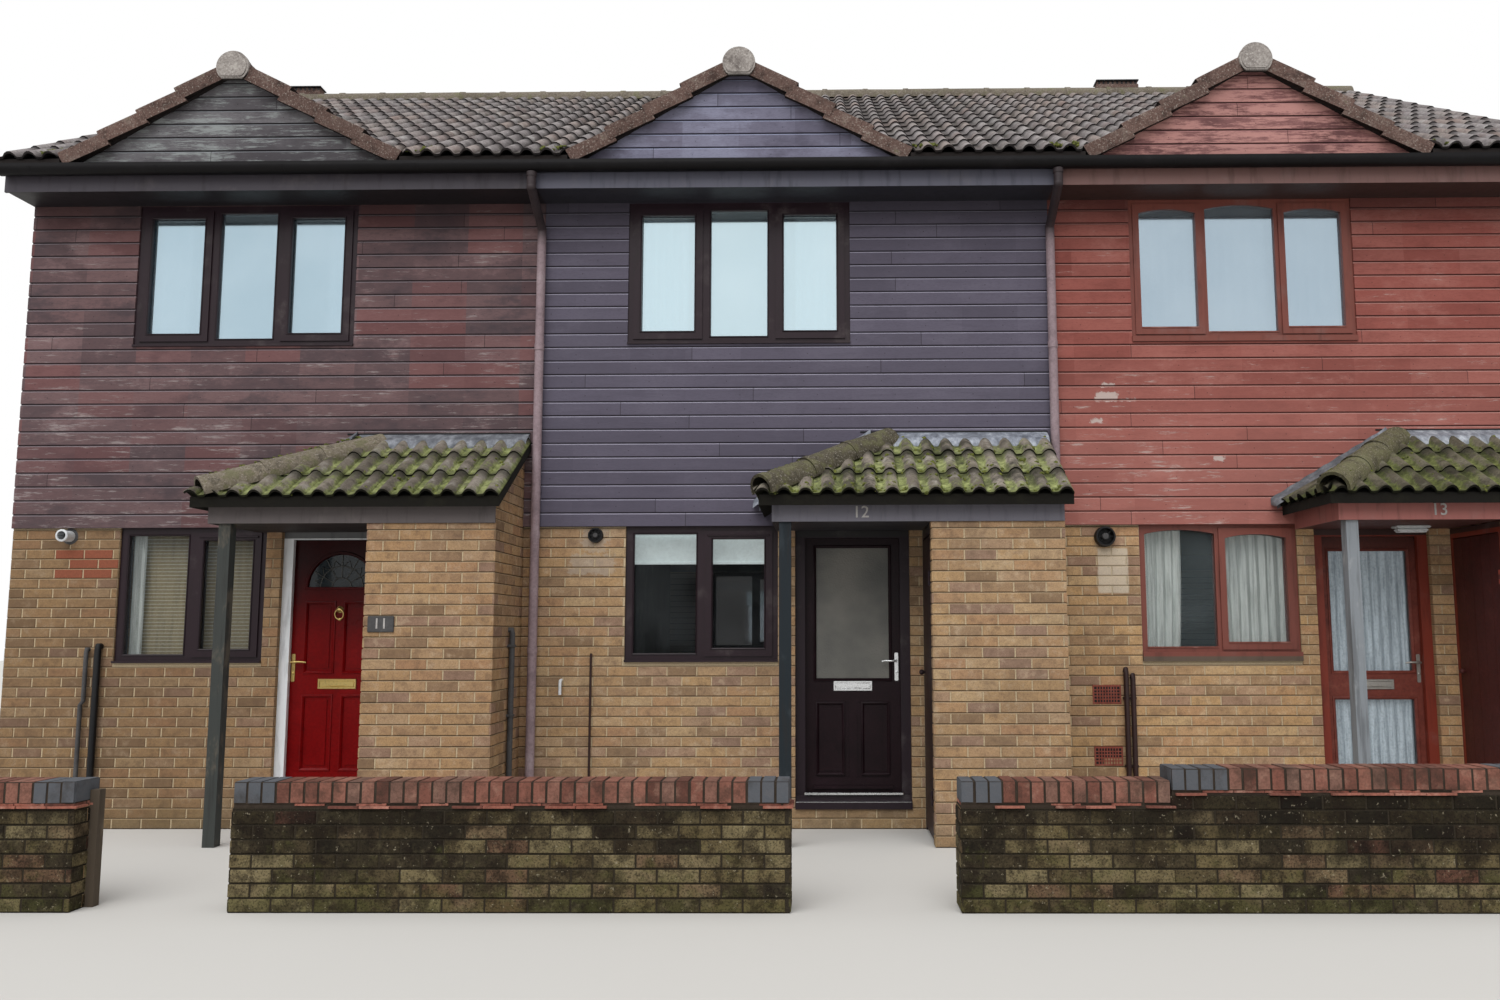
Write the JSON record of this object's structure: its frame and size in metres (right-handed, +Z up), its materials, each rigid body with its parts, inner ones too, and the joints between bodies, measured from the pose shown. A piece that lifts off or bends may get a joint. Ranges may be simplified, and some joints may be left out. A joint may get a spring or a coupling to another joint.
{
  "type": "terraced house row",
  "caption": "Row of brick and boarded terraced houses with front gablets, hipped porch roofs, brick stores with side doors, opening front doors and low garden walls.",
  "frame": {"origin": "ground level at the centre of the houses' footprint, on the underside of the middle house's ground floor slab", "axes": "+X along the row to the right seen from the street, +Y from the street to the back of the houses, +Z up"},
  "size_m": [12.145, 10.375, 7.5447],
  "materials": {
    "blockwork": "rendered masonry, matt",
    "brick": "buff multi-colour brick with dark bed joints",
    "concrete": "power-floated concrete",
    "floorboards": "plain softwood boards",
    "boards_red_brown": "weathered stain, matt",
    "boards_purple": "faded stain, matt",
    "boards_red": "painted, chipped",
    "window_frames": "dark satin",
    "glass": "clear glazing units",
    "red_door": "gloss red",
    "dark_door": "dark rosewood",
    "timber_door": "stained timber",
    "door_metal": "worn plated metal",
    "store_timber": "painted boards",
    "porch_tiles": "mossy concrete tiles",
    "roof_tiles": "weathered concrete tiles with lichen",
    "fascia_boards": "dark stained boards",
    "posts": "painted, weathered",
    "lead": "dull grey sheet",
    "gutter_plastic": "dark plastic",
    "pipe_plastic": "faded brown plastic",
    "fittings": "plastic and terracotta",
    "garden_brick": "dirty buff brick",
    "coping_brick": "red and blue bricks on edge"
  },
  "bodies": {
    "row": {"party_walls": "blockwork", "front_brick": "brick", "door_plinths": "brick", "front_upper_wall": "blockwork", "cladding_1": "boards_red_brown", "cladding_2": "boards_purple", "cladding_3": "boards_red", "rear_brick": "brick", "rear_upper_wall": "blockwork", "rear_cladding": "boards_red_brown", "ground_floor": "concrete", "first_floor": "floorboards", "lower_windows": "window_frames", "upper_windows": "window_frames", "lower_glass": "glass", "upper_glass": "glass", "rear_windows": "window_frames", "rear_glass": "glass", "rear_doors": "window_frames", "door_frames": "window_frames", "stores": "brick", "porch_roofs": "porch_tiles", "porch_hips": "roof_tiles", "porch_fascias": "fascia_boards", "porch_posts": "posts", "flashings": "lead", "roof_front": "roof_tiles", "roof_rear": "roof_tiles", "ridge": "roof_tiles", "gablet_faces": "boards_red_brown", "gablet_roofs": "roof_tiles", "gablet_ridges": "roof_tiles", "eaves_boards": "fascia_boards", "gutters": "gutter_plastic", "downpipes": "pipe_plastic", "wall_fittings": "fittings", "garden_wall": "garden_brick", "garden_coping": "coping_brick"},
    "front_door_1_leaf": {"front_door_1": "red_door", "door_glass_1": "glass", "door_fittings_1": "door_metal"},
    "store_door_1_leaf": {"store_door_1": "store_timber"},
    "front_door_2_leaf": {"front_door_2": "dark_door", "door_glass_2": "glass", "door_fittings_2": "door_metal"},
    "store_door_2_leaf": {"store_door_2": "store_timber"},
    "front_door_3_leaf": {"front_door_3": "timber_door", "door_glass_3": "glass", "door_fittings_3": "door_metal"},
    "store_door_3_leaf": {"store_door_3": "store_timber"}
  },
  "joints": [
    {"name": "front_door_1_swing", "type": "hinge", "parent": "row", "child": "front_door_1_leaf", "pos_m": [-3.1465, -3.458, 1.2], "axis": [0, 0, 1], "range_deg": [-90, 0]},
    {"name": "store_door_1_swing", "type": "hinge", "parent": "row", "child": "store_door_1_leaf", "pos_m": [-3.008, -4.24, 1.1], "axis": [0, 0, 1], "range_deg": [0, 90]},
    {"name": "front_door_2_swing", "type": "hinge", "parent": "row", "child": "front_door_2_leaf", "pos_m": [0.0535, -3.458, 1.2], "axis": [0, 0, 1], "range_deg": [0, 90]},
    {"name": "store_door_2_swing", "type": "hinge", "parent": "row", "child": "store_door_2_leaf", "pos_m": [0.95, -4.24, 1.1], "axis": [0, 0, 1], "range_deg": [0, 90]},
    {"name": "front_door_3_swing", "type": "hinge", "parent": "row", "child": "front_door_3_leaf", "pos_m": [3.9985, -3.458, 1.2], "axis": [0, 0, 1], "range_deg": [0, 90]},
    {"name": "store_door_3_swing", "type": "hinge", "parent": "row", "child": "store_door_3_leaf", "pos_m": [4.953, -4.24, 1.1], "axis": [0, 0, 1], "range_deg": [0, 90]}
  ]
}
